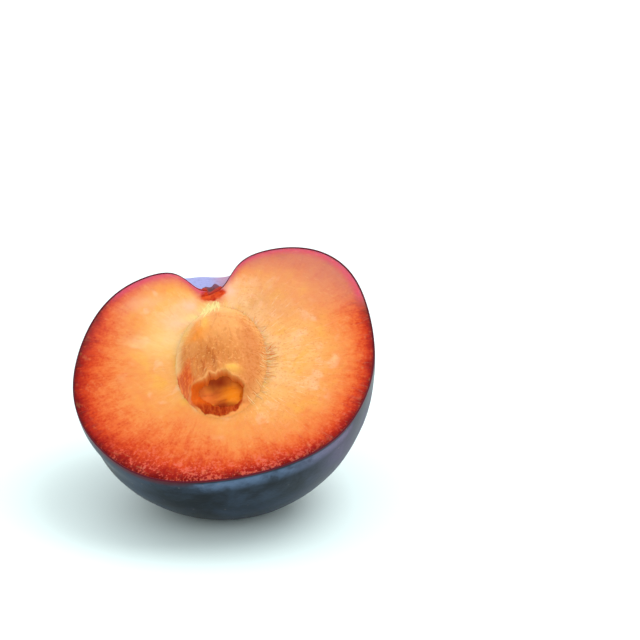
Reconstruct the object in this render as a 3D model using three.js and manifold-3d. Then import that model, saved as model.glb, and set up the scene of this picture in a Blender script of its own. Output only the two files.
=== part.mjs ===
// Half of a dark-skinned plum, cut from stalk end to blossom end, with the stone still in it.
// The half lies on its round back, on a small flat that its own weight presses into the skin,
// and its cut face leans towards -Y. Millimetres and degrees, +Z up, origin in the middle of the flat.
//
// In the fruit's own frame +X is the right of the cut face, +Y points to the stalk
// and +Z points out of the cut face. The knife's plane is z = 0 there.

import * as THREE from "three";
import { mergeVertices } from "three/addons/utils/BufferGeometryUtils.js";
import Module from "manifold-3d";

const wasm = await Module();
wasm.setup();

const DEG = Math.PI / 180;

// The body of the fruit: an ellipsoid about its middle
const BODY = { x: 32.8, y: 29, z: 34 };

// The shoulders round the stalk, each a soft swelling: how high, how far from the stalk, how wide
const LEFT_SHOULDER = { height: 5.5, angle: 27, spread: 32.5 };
const RIGHT_SHOULDER = { height: 9.2, angle: 41.5, spread: 30.5 };
const BACK_SHOULDER = { height: 2.2, angle: 8.5, spread: 7.5 };

// A slight fullness round the blossom end
const BLOSSOM_FULLNESS = { height: 1.1, angle: 140, spread: 22 };

// The hollow that the stalk stood in: steeper at the back, and leaning a little to the right
const STALK_HOLLOW = { depth: 7.3, spread: 10.7, backSpread: 7.1, steepness: 5.3, lean: 2.2 };

// The groove that runs down from the stalk, just behind the left rim, and fades before the blossom end
const SUTURE = { depth: 0.9, halfWidth: 5, turn: 166, start: 25, end: 150, fade: 60 };

// The stone: its size, where its middle lies, its lean to the right and how far its stalk end tips up
const STONE = { width: 18.6, length: 31, thickness: 13 };
const STONE_PLACE = { x: -0.1, y: 1.8, z: -2.4, lean: 6.5, pitch: 7 };
const STONE_TAPER = 0.05; // how much fuller it is towards the stalk
const KEEL = { height: 0.9, spread: 16 }; // the sharp ridge along its left edge
const STONE_PITS = { depth: 0.16, along: 9, round: 7 };
const STONE_GAP = 0.35; // clearance between the stone and its socket

// Flesh left on the stone's open side: its thickness, and the ragged line where it ends,
// which crosses the stone at edge and rises to the right by slope
const CLINGING = { height: 1.1, edge: -5, slope: 0.35, blend: 1.5 };

// How the half lies: turned about X, then its own Y, then its own Z
const ATTITUDE = { x: 28.7, y: -5.4, z: 10.1 };
const PRESSED_DEPTH = 1.5; // how much of the skin's curve is pressed flat

// Steps round and along each body
const FRUIT_STEPS = { round: 96, along: 44, crowding: 1.25 };
const STONE_STEPS = { round: 40, along: 24 };
const KNIFE_BLOCK = 120; // side of the blocks that cut the half and its flat

const bell = (distance, spread) => Math.exp(-((distance / spread) ** 2));
const mix = (left, right, share) => left + (right - left) * share;
const clamp01 = (value) => Math.min(Math.max(value, 0), 1);

// Distance from the fruit's middle to its skin in the unit direction d.
function skinRadius(d) {
  const fromStalk = Math.acos(THREE.MathUtils.clamp(d.y, -1, 1)) / DEG;
  const sideways = Math.hypot(d.x, d.z) + 1e-9;
  const rightness = (1 + d.x / sideways) / 2;
  const backness = clamp01(-d.z / sideways);

  const ellipsoid = 1 / Math.hypot(d.x / BODY.x, d.y / BODY.y, d.z / BODY.z);

  const height = mix(LEFT_SHOULDER.height, RIGHT_SHOULDER.height, rightness);
  const angle = mix(LEFT_SHOULDER.angle, RIGHT_SHOULDER.angle, rightness);
  const spread = mix(LEFT_SHOULDER.spread, RIGHT_SHOULDER.spread, rightness);
  const shoulder = height * bell(fromStalk - angle, spread);
  const back = BACK_SHOULDER.height * backness * bell(fromStalk - BACK_SHOULDER.angle, BACK_SHOULDER.spread);
  const blossom = BLOSSOM_FULLNESS.height * bell(fromStalk - BLOSSOM_FULLNESS.angle, BLOSSOM_FULLNESS.spread);

  const axis = new THREE.Vector3(Math.sin(STALK_HOLLOW.lean * DEG), Math.cos(STALK_HOLLOW.lean * DEG), 0);
  const fromHollow = Math.acos(THREE.MathUtils.clamp(d.dot(axis), -1, 1)) / DEG;
  const hollowSpread = mix(STALK_HOLLOW.spread, STALK_HOLLOW.backSpread, backness ** 2);
  const hollow = STALK_HOLLOW.depth / (1 + (fromHollow / hollowSpread) ** STALK_HOLLOW.steepness);

  const turn = Math.atan2(-d.z, d.x) / DEG; // 0 at the right rim, 90 at the back, 180 at the left rim
  const offSuture = (turn - SUTURE.turn) * Math.sin(fromStalk * DEG);
  const sutureFade = clamp01(fromStalk / SUTURE.start) ** 2 * clamp01((SUTURE.end - fromStalk) / SUTURE.fade);
  const suture = SUTURE.depth * bell(offSuture, SUTURE.halfWidth) * sutureFade;

  return ellipsoid + shoulder + back + blossom - hollow - suture;
}

// A point on the stone's surface for the unit direction d, in the stone's own frame (+Y along it).
function stonePoint(d, extra) {
  const along = d.y;
  const sideways = Math.hypot(d.x, d.z) + 1e-9;
  const fullness = 1 + STONE_TAPER * along;
  const fromKeel = Math.atan2(d.z, -d.x) / DEG;
  const keel = KEEL.height * bell(fromKeel, KEEL.spread) * sideways;
  const pits =
    STONE_PITS.depth *
    Math.cos(STONE_PITS.along * along + 1.5 * Math.sin(3 * fromKeel * DEG)) *
    Math.cos(STONE_PITS.round * fromKeel * DEG) *
    sideways;
  const grow = extra + keel + pits;
  const x = (STONE.width / 2) * fullness * d.x + (grow * d.x) / sideways;
  const y = (STONE.length / 2 + extra) * along;
  const z = (STONE.thickness / 2) * fullness * d.z + (grow * d.z) / sideways;
  const aboveEdge = (y - CLINGING.edge - CLINGING.slope * x) / CLINGING.blend + 0.5;
  const cling = CLINGING.height * clamp01(aboveEdge) * clamp01(3 * d.z) * sideways;
  return new THREE.Vector3(x, y, z + cling);
}

// A closed ball whose every vertex is moved by the rule place(direction).
function shapedBall(round, along, crowding, place) {
  const ball = new THREE.SphereGeometry(1, round, along);
  ball.deleteAttribute("normal");
  ball.deleteAttribute("uv");
  const merged = mergeVertices(ball, 1e-5);
  const position = merged.getAttribute("position");
  const direction = new THREE.Vector3();
  for (let i = 0; i < position.count; i++) {
    direction.fromBufferAttribute(position, i).normalize();
    const polar = Math.acos(direction.y);
    const crowded = Math.PI * (polar / Math.PI) ** crowding;
    const turn = Math.atan2(direction.z, direction.x);
    direction.setFromSphericalCoords(1, crowded, Math.PI / 2 - turn);
    if (Math.abs(direction.z) < 1e-6) direction.z = 0; // on the knife's plane
    const point = place(direction);
    position.setXYZ(i, point.x, point.y, point.z);
  }
  return merged;
}

function solidFrom(geometry) {
  return new wasm.Manifold(
    new wasm.Mesh({
      numProp: 3,
      vertProperties: new Float32Array(geometry.getAttribute("position").array),
      triVerts: new Uint32Array(geometry.index.array),
    }),
  );
}

function geometryFrom(solid) {
  const cut = solid.getMesh();
  const geometry = new THREE.BufferGeometry();
  geometry.setAttribute("position", new THREE.BufferAttribute(cut.vertProperties, 3));
  geometry.setIndex(new THREE.BufferAttribute(cut.triVerts, 1));
  return geometry;
}

// A block to cut away, placed by a matrix; its nearest face is the plane z = 0 of that matrix.
function block(matrix, side) {
  const box = new THREE.BoxGeometry(KNIFE_BLOCK, KNIFE_BLOCK, KNIFE_BLOCK);
  box.deleteAttribute("normal");
  box.deleteAttribute("uv");
  box.translate(0, 0, (side * KNIFE_BLOCK) / 2);
  return solidFrom(mergeVertices(box.applyMatrix4(matrix), 1e-5));
}

// Turns the half as it lies and lowers it until PRESSED_DEPTH of its back is under the floor z = 0.
// The origin is the middle of the flat that this leaves.
function lyingMatrix() {
  const turn = new THREE.Euler(ATTITUDE.x * DEG, ATTITUDE.y * DEG, ATTITUDE.z * DEG, "XYZ");
  const matrix = new THREE.Matrix4().makeRotationFromEuler(turn);
  const points = [];
  const step = 0.5;
  for (let polar = step; polar < 180; polar += step) {
    for (let around = 0; around <= 180; around += step) {
      const d = new THREE.Vector3(
        Math.sin(polar * DEG) * Math.cos(around * DEG),
        Math.cos(polar * DEG),
        -Math.sin(polar * DEG) * Math.sin(around * DEG),
      );
      points.push(d.multiplyScalar(skinRadius(d)).applyMatrix4(matrix));
    }
  }
  const lowest = points.reduce((least, p) => Math.min(least, p.z), Infinity);
  const floor = lowest + PRESSED_DEPTH;
  const pressed = new THREE.Box3().setFromPoints(points.filter((p) => p.z < floor));
  const middle = pressed.getCenter(new THREE.Vector3());
  return matrix.premultiply(new THREE.Matrix4().makeTranslation(-middle.x, -middle.y, -floor));
}

function stoneMatrix() {
  const place = new THREE.Matrix4().makeTranslation(STONE_PLACE.x, STONE_PLACE.y, STONE_PLACE.z);
  place.multiply(new THREE.Matrix4().makeRotationZ(-STONE_PLACE.lean * DEG));
  return place.multiply(new THREE.Matrix4().makeRotationX(STONE_PLACE.pitch * DEG));
}

function stoneGeometry(extra) {
  const { round, along } = STONE_STEPS;
  return shapedBall(round, along, 1, (d) => stonePoint(d, extra));
}

// Flesh and skin are one grown piece: the whole fruit, less the half cut away, the stone's room and the flat.
function fruitHalfGeometry(lying) {
  const { round, along, crowding } = FRUIT_STEPS;
  const whole = shapedBall(round, along, crowding, (d) => d.clone().multiplyScalar(skinRadius(d)));
  const cutAway = block(new THREE.Matrix4(), 1);
  const socket = solidFrom(stoneGeometry(STONE_GAP).applyMatrix4(stoneMatrix()));
  const underFloor = block(lying.clone().invert(), -1);
  return geometryFrom(solidFrom(whole).subtract(cutAway).subtract(socket).subtract(underFloor));
}

function fruitHalfMesh(lying) {
  const skinned = new THREE.MeshStandardMaterial({ color: 0xe87a3c, roughness: 0.45, metalness: 0 });
  const mesh = new THREE.Mesh(fruitHalfGeometry(lying), skinned);
  mesh.name = "fruit_half";
  return mesh;
}

function stoneMesh() {
  const wood = new THREE.MeshStandardMaterial({ color: 0xc88248, roughness: 0.6, metalness: 0 });
  const mesh = new THREE.Mesh(stoneGeometry(0), wood);
  mesh.name = "stone";
  mesh.applyMatrix4(stoneMatrix());
  return mesh;
}

const lying = lyingMatrix();
const plum = new THREE.Group();
plum.add(fruitHalfMesh(lying), stoneMesh());
plum.applyMatrix4(lying);

export default plum;
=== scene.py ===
# %% [markdown]
# # Half a dark plum, as a lesson in cells
# The frame holds two solids: the half fruit and its stone, at their real size and place.
# It is fixed, so everything below is built round it, and nothing is fitted afterwards.

# %% Load the frame
import math
from types import SimpleNamespace

import bpy
import numpy as np
from mathutils import Euler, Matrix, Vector


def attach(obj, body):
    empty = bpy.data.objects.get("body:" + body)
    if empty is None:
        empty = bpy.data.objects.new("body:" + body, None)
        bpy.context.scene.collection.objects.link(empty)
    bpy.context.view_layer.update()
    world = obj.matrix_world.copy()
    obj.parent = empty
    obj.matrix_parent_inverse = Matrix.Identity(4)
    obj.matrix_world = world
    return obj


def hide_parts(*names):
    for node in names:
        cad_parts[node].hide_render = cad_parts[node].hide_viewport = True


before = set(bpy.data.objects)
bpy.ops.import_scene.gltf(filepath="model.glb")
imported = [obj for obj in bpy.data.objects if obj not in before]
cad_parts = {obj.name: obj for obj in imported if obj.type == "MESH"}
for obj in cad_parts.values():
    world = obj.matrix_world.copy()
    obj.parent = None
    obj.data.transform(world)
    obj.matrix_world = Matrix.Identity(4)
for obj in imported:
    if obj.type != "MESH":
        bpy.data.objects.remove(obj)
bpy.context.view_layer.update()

# %% [markdown]
# ## The fruit's measures
# The plum is drawn in its own frame, in millimetres: +x is the right of the cut face, +y points to the
# stalk and +z out of the cut. These are the same driving dimensions as the solids have, so the fine
# surfaces lie on the coarse ones.

# %% Driving dimensions
MM = 0.001
BODY = np.array([32.8, 29.0, 34.0])
SHOULDER_HEIGHT = (5.5, 9.2)  # left, right
SHOULDER_ANGLE = (27.0, 41.5)
SHOULDER_SPREAD = (32.5, 30.5)
BACK_SHOULDER = dict(height=2.2, angle=8.5, spread=7.5)
BLOSSOM = dict(height=1.1, angle=140.0, spread=22.0)
HOLLOW = dict(depth=7.3, spread=10.7, back_spread=7.1, steepness=5.3, lean=2.2)
SUTURE = dict(depth=0.9, half_width=5.0, turn=166.0, start=25.0, end=150.0, fade=60.0)

STONE_HALF = np.array([9.3, 15.5, 6.5])
STONE_PLACE = np.array([-0.1, 1.8, -2.4])
STONE_LEAN = 6.5
STONE_PITCH = 7.0
STONE_TAPER = 0.05
KEEL = dict(height=0.9, spread=16.0)
SOCKET_GAP = 0.55

# Where the knife cut through the corky scar under the stalk, on the cut face
SCAR_CUT = dict(x=1.0, y=22.6, half_width=3.2, half_height=1.9)

# Where the clinging flesh is torn off the stone: the hole's middle, in mm across and along the stone,
# and its border as pairs of degrees clockwise from the stalk's side and mm from that middle
HOLE_MIDDLE = (-1.0, -9.4)
HOLE_BORDER = (
    (0, 3.4), (28, 4.2), (50, 4.4), (60, 5.2), (75, 5.5), (100, 5.1), (130, 4.7), (165, 4.4), (200, 4.2),
    (235, 4.4), (265, 5.2), (290, 6.0), (303, 5.0), (325, 3.6), (342, 4.1), (360, 3.4),
)

ATTITUDE = (28.7, -5.4, 10.1)  # turned about x, then its own y, then its own z
PRESSED = 1.5
SKIN = 0.35  # thickness of the skin
OVERLAP = 0.06  # how far the flesh reaches into the skin, so that no gap shows


# %% [markdown]
# ## Noise on arrays
# Nature's unevenness comes from one function: random numbers on a cubic lattice, blended smoothly.
# Blender's own noise could be called point by point, but a whole grid at once is faster, and a hash of
# the lattice place gives the same numbers on every run with no seed to keep.

# %% Noise
def lattice(i, j, k, seed):
    """A fixed number in 0..1 for each whole-number place, by mixing the bits of i, j, k and seed."""
    mixed = (i * 73856093) ^ (j * 19349663) ^ (k * 83492791) ^ (seed * 2654435761)
    for shift in (16, 15):
        mixed = mixed & 0xFFFFFFFF
        mixed = (mixed ^ (mixed >> shift)) * 73244475
    return ((mixed >> 12) & 0xFFFF) / 65535.0


def noise(x, y, z=0.0, seed=0):
    """Smooth noise in -1..1: lattice numbers blended along each axis by the weight 3f^2 - 2f^3."""
    x, y, z = np.broadcast_arrays(*(np.asarray(a, float) for a in (x, y, z)))
    cells = [np.floor(a).astype(np.int64) for a in (x, y, z)]
    shares = [a - c for a, c in zip((x, y, z), cells)]
    shares = [f * f * (3 - 2 * f) for f in shares]
    total = np.zeros(x.shape)
    for corner in range(8):
        steps = (corner & 1, corner >> 1 & 1, corner >> 2)
        weight = np.ones(x.shape)
        for share, step in zip(shares, steps):
            weight = weight * (share if step else 1 - share)
        total += weight * lattice(*(c + s for c, s in zip(cells, steps)), seed)
    return 2 * total - 1


def layered(x, y, z=0.0, seed=0, octaves=3):
    """Noise plus half as much at twice the fineness, and so on, kept within about -1..1."""
    total = 0.0
    for octave in range(octaves):
        scale = 2.0**octave
        total = total + noise(x * scale, y * scale, np.asarray(z) * scale, seed + octave) / scale
    return total / 1.6


def bell(distance, spread):
    """exp(-(distance / spread)^2): 1 at the middle, fading to 0."""
    return np.exp(-((distance / spread) ** 2))


def step_up(value, low, high):
    """0 below low, 1 above high, and a smooth S between."""
    share = np.clip((value - low) / (high - low), 0, 1)
    return share * share * (3 - 2 * share)


print("noise spans", [round(float(f(noise(*np.mgrid[0:9:0.1, 0:9:0.1]))), 2) for f in (np.min, np.max)])


# %% [markdown]
# ## The skin's surface as one formula
# A plum grows outwards from its middle, so its skin is a distance in every direction: an ellipsoid,
# plus soft swellings for the shoulders, less the stalk's hollow and the suture groove. A sculpted mesh
# could look as good, but a formula can be drawn as finely as wanted and agrees with the solid.

# %% Skin radius
def skin_radius(d):
    """Distance from the fruit's middle to its skin, in mm, along unit directions d (..., 3).
    Ellipsoid + shoulder(angle from the stalk) + blossom fullness - hollow - suture."""
    x, y, z = d[..., 0], d[..., 1], d[..., 2]
    from_stalk = np.degrees(np.arccos(np.clip(y, -1, 1)))
    sideways = np.hypot(x, z) + 1e-9
    rightness = (1 + x / sideways) / 2
    backness = np.clip(-z / sideways, 0, 1)
    height, angle, spread = (
        left + (right - left) * rightness
        for left, right in (SHOULDER_HEIGHT, SHOULDER_ANGLE, SHOULDER_SPREAD)
    )
    radius = 1 / np.sqrt(((d / BODY) ** 2).sum(-1))
    radius = radius + height * bell(from_stalk - angle, spread)
    radius = radius + BACK_SHOULDER["height"] * backness * bell(
        from_stalk - BACK_SHOULDER["angle"], BACK_SHOULDER["spread"]
    )
    radius = radius + BLOSSOM["height"] * bell(from_stalk - BLOSSOM["angle"], BLOSSOM["spread"])
    lean = math.radians(HOLLOW["lean"])
    axis = np.array([math.sin(lean), math.cos(lean), 0.0])
    from_hollow = np.degrees(np.arccos(np.clip(d @ axis, -1, 1)))
    spread = HOLLOW["spread"] + (HOLLOW["back_spread"] - HOLLOW["spread"]) * backness**2
    radius = radius - HOLLOW["depth"] / (1 + (from_hollow / spread) ** HOLLOW["steepness"])
    turn = np.degrees(np.arctan2(-z, x))
    off = (turn - SUTURE["turn"]) * np.sin(np.radians(from_stalk))
    fade = np.clip(from_stalk / SUTURE["start"], 0, 1) ** 2
    fade = fade * np.clip((SUTURE["end"] - from_stalk) / SUTURE["fade"], 0, 1)
    return radius - SUTURE["depth"] * bell(off, SUTURE["half_width"]) * fade


def direction(round_face, below):
    """Unit directions: round_face is the angle clockwise from the stalk on the cut face, below the angle
    under the cut, both in radians: (sin a cos b, cos a cos b, -sin b)."""
    a, b = np.broadcast_arrays(round_face, below)
    return np.stack([np.sin(a) * np.cos(b), np.cos(a) * np.cos(b), -np.sin(b)], -1)


# %% [markdown]
# ## Laying the half down
# The half lies on its round back with the cut face leaning to the viewer. The fruit is turned, the
# lowest part of its skin is found on a half-degree grid, and the floor is raised until it presses
# 1.5 mm of the curve flat. The middle of that flat is the frame's origin.

# %% Lying place
def turning(x=0.0, y=0.0, z=0.0):
    """The matrix of a turn about x, then about the turned y, then about the turned z, in degrees."""
    return np.array(Euler([math.radians(angle) for angle in (x, y, z)], "ZYX").to_matrix())


TURN = turning(*ATTITUDE)


def lying_shift():
    """The move, in mm, that brings the middle of the pressed flat to the origin."""
    polar, around = np.radians(np.mgrid[0.5:180:0.5, 0:180.5:0.5])
    d = np.stack([np.sin(polar) * np.cos(around), np.cos(polar), -np.sin(polar) * np.sin(around)], -1)
    points = (d * skin_radius(d)[..., None]).reshape(-1, 3) @ TURN.T
    floor = points[:, 2].min() + PRESSED
    pressed = points[points[:, 2] < floor]
    middle = (pressed.min(0) + pressed.max(0)) / 2
    return -np.array([middle[0], middle[1], floor])


SHIFT = lying_shift()


def to_frame(points, floor=0.0):
    """Fruit frame in mm to the shared frame in metres; nothing goes under the floor height, in mm."""
    placed = points @ TURN.T + SHIFT
    placed[..., 2] = np.maximum(placed[..., 2], floor)
    return placed * MM


print("fruit's middle in mm:", SHIFT.round(2))


# %% [markdown]
# ## From a grid to a mesh
# Every piece here is a closed body made of rings of points between two poles, like a globe pulled into
# another shape. Faces join neighbouring rings, and if the signed volume comes out negative the faces
# are turned over, so they always look outwards.

# %% Mesh from rings
def ring_faces(rows, columns):
    """Quads between neighbouring rings and triangles to the two poles, as arrays of vertex numbers."""
    row, column = np.mgrid[0 : rows - 1, 0:columns]
    here = row * columns + column
    beside = row * columns + (column + 1) % columns
    quads = np.stack([here, beside, beside + columns, here + columns], -1).reshape(-1, 4)
    around = np.arange(columns)
    after = (around + 1) % columns
    first, last = rows * columns, rows * columns + 1
    start = np.stack([np.full(columns, first), after, around], -1)
    bottom = (rows - 1) * columns
    end = np.stack([np.full(columns, last), bottom + around, bottom + after], -1)
    return quads, np.concatenate([start, end])


def signed_volume(points, quads, triangles):
    """Sum over triangles of a . (b x c) / 6: positive when the faces look outwards."""
    all_triangles = np.concatenate([quads[:, [0, 1, 2]], quads[:, [0, 2, 3]], triangles])
    a, b, c = (points[all_triangles[:, k]] for k in range(3))
    return np.einsum("ij,ij->", a, np.cross(b, c)) / 6


def mesh_piece(name, points, quads, triangles, attributes):
    """A smooth-shaded object from vertex and face arrays, with one value or vector per vertex for each
    named attribute."""
    if signed_volume(points, quads, triangles) < 0:
        quads, triangles = quads[:, ::-1], triangles[:, ::-1]
    corners = np.concatenate([quads.ravel(), triangles.ravel()]).astype(np.int32)
    sizes = np.concatenate([np.full(len(quads), 4), np.full(len(triangles), 3)])
    starts = np.concatenate([[0], np.cumsum(sizes)[:-1]]).astype(np.int32)
    mesh = bpy.data.meshes.new(name)
    mesh.vertices.add(len(points))
    mesh.vertices.foreach_set("co", points.astype(np.float32).ravel())
    mesh.loops.add(len(corners))
    mesh.loops.foreach_set("vertex_index", corners)
    mesh.polygons.add(len(sizes))
    mesh.polygons.foreach_set("loop_start", starts)
    mesh.update(calc_edges=True)
    mesh.validate()
    mesh.polygons.foreach_set("use_smooth", np.ones(len(mesh.polygons), bool))
    for title, values in attributes.items():
        kind = "FLOAT_VECTOR" if values.ndim == 2 else "FLOAT"
        layer = mesh.attributes.new(title, kind, "POINT")
        layer.data.foreach_set("vector" if values.ndim == 2 else "value", values.astype(np.float32).ravel())
    piece = bpy.data.objects.new(name, mesh)
    bpy.context.scene.collection.objects.link(piece)
    triangle_count = 2 * len(quads) + len(triangles)
    print(f"{name}: {len(points)} points, {triangle_count} triangles")
    return piece


def globe_piece(name, rings, first, last, attributes):
    """A closed body from rings (rows, columns, 3) in the shared frame and its two poles. Each attribute is
    (rows, columns) or (rows, columns, 3); a pole takes the mean of the ring beside it."""
    rows, columns = rings.shape[:2]
    points = np.concatenate([rings.reshape(-1, 3), [first, last]])
    quads, triangles = ring_faces(rows, columns)
    flat = {}
    for title, values in attributes.items():
        ends = np.stack([values[0].mean(0), values[-1].mean(0)])
        flat[title] = np.concatenate([values.reshape(rows * columns, *values.shape[2:]), ends])
    return mesh_piece(name, points, quads, triangles, flat)


# %% [markdown]
# ## Columns round the fruit
# All pieces of the fruit share one set of angles round the cut face, counted clockwise from the stalk.
# They crowd together at the stalk's notch, where the outline turns sharply.

# %% Angles round the cut face
COLUMNS = 460
NOTCH_CROWDING = 0.6
share = np.arange(COLUMNS) / COLUMNS
ROUND = 2 * np.pi * share - NOTCH_CROWDING * np.sin(2 * np.pi * share)


def rim_point(inset):
    """Points of the cut outline, in mm, moved towards the middle by inset."""
    d = direction(ROUND, 0.0)
    return d * (skin_radius(d) - inset)[..., None]


print("cut face in mm:", (rim_point(0).max(0) - rim_point(0).min(0)).round(1)[:2])


# %% [markdown]
# ## The skin
# Plum skin is a third of a millimetre thick, stretched over the flesh, and the knife leaves its edge as
# a thin dark line round the face. It is made as a closed shell: the outer surface, a rounded lip at the
# cut, and the inner surface back to the bottom. Solidify on an open sheet would do nearly the same, but
# gives no say over the lip.

# %% Skin piece
OUTER_ROWS = 110
INNER_ROWS = 22
LIP_ROWS = 4
LIP_HEIGHT = 0.05


def skin_unevenness(d):
    """Slow dents and swellings of a grown fruit, in mm: noise on the direction, faded out at the cut."""
    slow = noise(*(3.1 * d[..., k] for k in range(3)), seed=11)
    quick = noise(*(8.0 * d[..., k] for k in range(3)), seed=12)
    return (0.16 * slow + 0.05 * quick) * step_up(-d[..., 2], 0.0, 0.25)


def skin_rows(count, inset):
    """Rings from the bottom pole up to the cut, inset mm under the skin; close together near the cut."""
    below = (np.pi / 2) * (1 - (np.arange(count) + 1.0) / (count + 1)) ** 1.35
    below = np.append(below, 0.0)
    d = direction(ROUND[None, :], below[:, None])
    radius = skin_radius(d) + skin_unevenness(d) - inset
    return d * radius[..., None], d


def make_skin():
    """Outer rings, a half-round lip over the cut edge, then inner rings down again."""
    outer, outer_d = skin_rows(OUTER_ROWS, 0.0)
    inner, inner_d = skin_rows(INNER_ROWS, SKIN)
    arc = np.pi * (np.arange(LIP_ROWS) + 1) / (LIP_ROWS + 1)
    edge_d = direction(ROUND, 0.0)
    inset = SKIN * (1 - np.cos(arc)) / 2
    lip = edge_d[None] * (skin_radius(edge_d)[None] - inset[:, None])[..., None]
    lip[..., 2] += (LIP_HEIGHT * np.sin(arc))[:, None]
    rings = np.concatenate([to_frame(outer), to_frame(lip), to_frame(inner[::-1], SKIN)])
    directions = np.concatenate([outer_d, np.repeat(edge_d[None], LIP_ROWS, 0), inner_d[::-1]])
    bottom = direction(0.0, np.pi / 2)
    depth = skin_radius(bottom) + skin_unevenness(bottom)
    poles = [to_frame(bottom * depth), to_frame(bottom * (depth - SKIN), SKIN)]
    stalk_angle = np.degrees(np.arccos(np.clip(directions[..., 1], -1, 1)))
    outside = np.concatenate([outer, lip, inner[::-1]])
    under_cut = -outside[..., 2]
    attributes = {"stalk_angle": stalk_angle, "under_cut": under_cut, "across": outside[..., 0]}
    return globe_piece("plum_skin", rings, *poles, attributes)


skin = make_skin()

# %% [markdown]
# ## The stone's place
# The stone is a flattened egg, tipped so that its stalk end stands highest. The socket, the flesh that
# clings to it and the torn fibres all need to know where its surface is, so the egg is also written as
# an equation that a straight line can be met with.

# %% Stone frame
STONE_TURN = turning(z=-STONE_LEAN) @ turning(x=STONE_PITCH)
FACE_MIDDLE = np.array([STONE_PLACE[0], STONE_PLACE[1], 0.0])


def reach_to_stone(start, way, grow):
    """How far along way from start the stone's surface lies, when the stone is grown by grow mm all round
    (one value, or one for each line). The egg's equation |p / half size| = 1 becomes a quadratic in the
    distance; the larger root is taken. Where the line misses, the nearest approach is returned."""
    half = STONE_HALF + np.asarray(grow)[..., None]
    o = ((start - STONE_PLACE) @ STONE_TURN) / half
    w = (way @ STONE_TURN) / half
    a = (w * w).sum(-1)
    b = (o * w).sum(-1)
    c = (o * o).sum(-1) - 1
    return (-b + np.sqrt(np.maximum(b * b - a * c, 0))) / a


def mouth_radius(grow):
    """Distance from FACE_MIDDLE to the stone's outline in the cut plane, for every angle in ROUND."""
    return reach_to_stone(FACE_MIDDLE, direction(ROUND, 0.0), grow)


def stone_top(x, y, grow=0.0):
    """Height of the stone's open side above the cut plane at the place x, y."""
    start = np.stack([x, y, np.zeros_like(x)], -1)
    return reach_to_stone(start, np.array([0.0, 0.0, 1.0]), grow)


def stone_coordinates(x, y):
    """The place x, y on the cut face as millimetres across and along the stone."""
    lean = math.radians(STONE_LEAN)
    px, py = x - STONE_PLACE[0], y - STONE_PLACE[1]
    return px * math.cos(lean) - py * math.sin(lean), px * math.sin(lean) + py * math.cos(lean)


def outside_hole(across, along):
    """Signed distance, in mm, outside the ragged border of the hole that the flesh was torn off from."""
    right, up = across - HOLE_MIDDLE[0], along - HOLE_MIDDLE[1]
    turn = np.degrees(np.arctan2(right, up)) % 360
    border = np.interp(turn, *zip(*HOLE_BORDER))
    ragged = 0.35 * noise(across / 1.3, along / 1.3, seed=21)
    ragged = ragged + 0.15 * noise(across / 0.4, along / 0.4, seed=22)
    return np.hypot(right, up) - border - ragged


mouth_width = 2 * mouth_radius(0.0)
print("stone's outline in the cut plane, mm:", mouth_width.min().round(1), "to", mouth_width.max().round(1))

# %% [markdown]
# ## The flesh
# The flesh fills the skin, and its cut face is what one looks at. A flat disc with a picture on it
# would be flat in every light, so the face is a grid that runs along the fruit's own fibres, from the
# stone to the skin, and is raised and lowered by a fraction of a millimetre: the knife's slow waves,
# fibres, wet pulp at the rim, and a torn lip at the stone. The same grid goes on behind the skin and
# into the socket, so that the body is closed and light can scatter in it.

# %% Flesh piece
FACE_ROWS = 160
FLESH_BACK_ROWS = 22
SOCKET_ROWS = 16

# How far the skin's red reaches into the flesh: degrees clockwise from the stalk, and times as far
RED_REACH = (
    (0, 0.5), (18, 0.5), (36, 1.1), (50, 1.25), (90, 0.9), (115, 1.0), (146, 1.2), (166, 1.4), (186, 1.3),
    (206, 2.1), (226, 2.2), (246, 1.65), (280, 1.6), (300, 1.45), (320, 0.9), (335, 0.5), (360, 0.5),
)
WET_SHEEN_SPOTS = (  # how strong each spot of painted highlight on the wet flesh is, and where and how large in mm
    (0.75, (5.0, 22.5), (1.9, 3.4)), (0.5, (-8.0, 16.5), (3.4, 1.8)),
    (0.6, (-4.2, 21.0), (1.9, 2.2)), (0.35, (-14.5, 24.0), (4.0, 2.0)),
)
FAR_INSIDE = 20.0  # mm, the distance that is written where a piece's hidden side has none


def face_relief(x, y, along, to_skin, to_stone):
    """Height of the cut face above the knife's plane, in mm. Sum of slow waves, radial fibres (noise that
    is stretched along the fibre), pulp grain towards the skin and a raised lip at the stone."""
    fibre_x, fibre_y = (34 * f(ROUND)[None, :] for f in (np.cos, np.sin))
    waves = 0.13 * noise(x / 13, y / 13, seed=31)
    fibres = 0.035 * noise(fibre_x, fibre_y, along * 5, seed=32)
    fine_fibres = 0.022 * noise(fibre_x * 2.6, fibre_y * 2.6, along * 9, seed=33)
    grain = layered(x / 0.9, y / 0.9, seed=34) * (0.02 + 0.05 * bell(to_skin, 4.5))
    tear = noise(fibre_x * 1.7, fibre_y * 1.7, along * 3, seed=35)
    lip = bell(to_stone, 1.3) * (0.02 + 0.12 * tear)
    droop = 0.10 * bell(to_skin, 0.5)
    fade = step_up(to_skin, 0.0, 0.6)
    return (waves + fibres + fine_fibres) * fade + grain * fade + lip - droop + 0.04


def ripeness_depth(x, y, to_skin):
    """Distance from the skin as the dye sees it, in mm: true distance / reach, where the reach of the red
    changes round the face and is uneven."""
    round_face = np.degrees(np.arctan2(x, y)) % 360
    reach = np.interp(round_face, *zip(*RED_REACH))
    uneven = 1 + 0.15 * layered(x / 4.0, y / 4.0, seed=36) + 0.07 * noise(x / 0.8, y / 0.8, seed=37)
    return to_skin / (reach * uneven)


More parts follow.
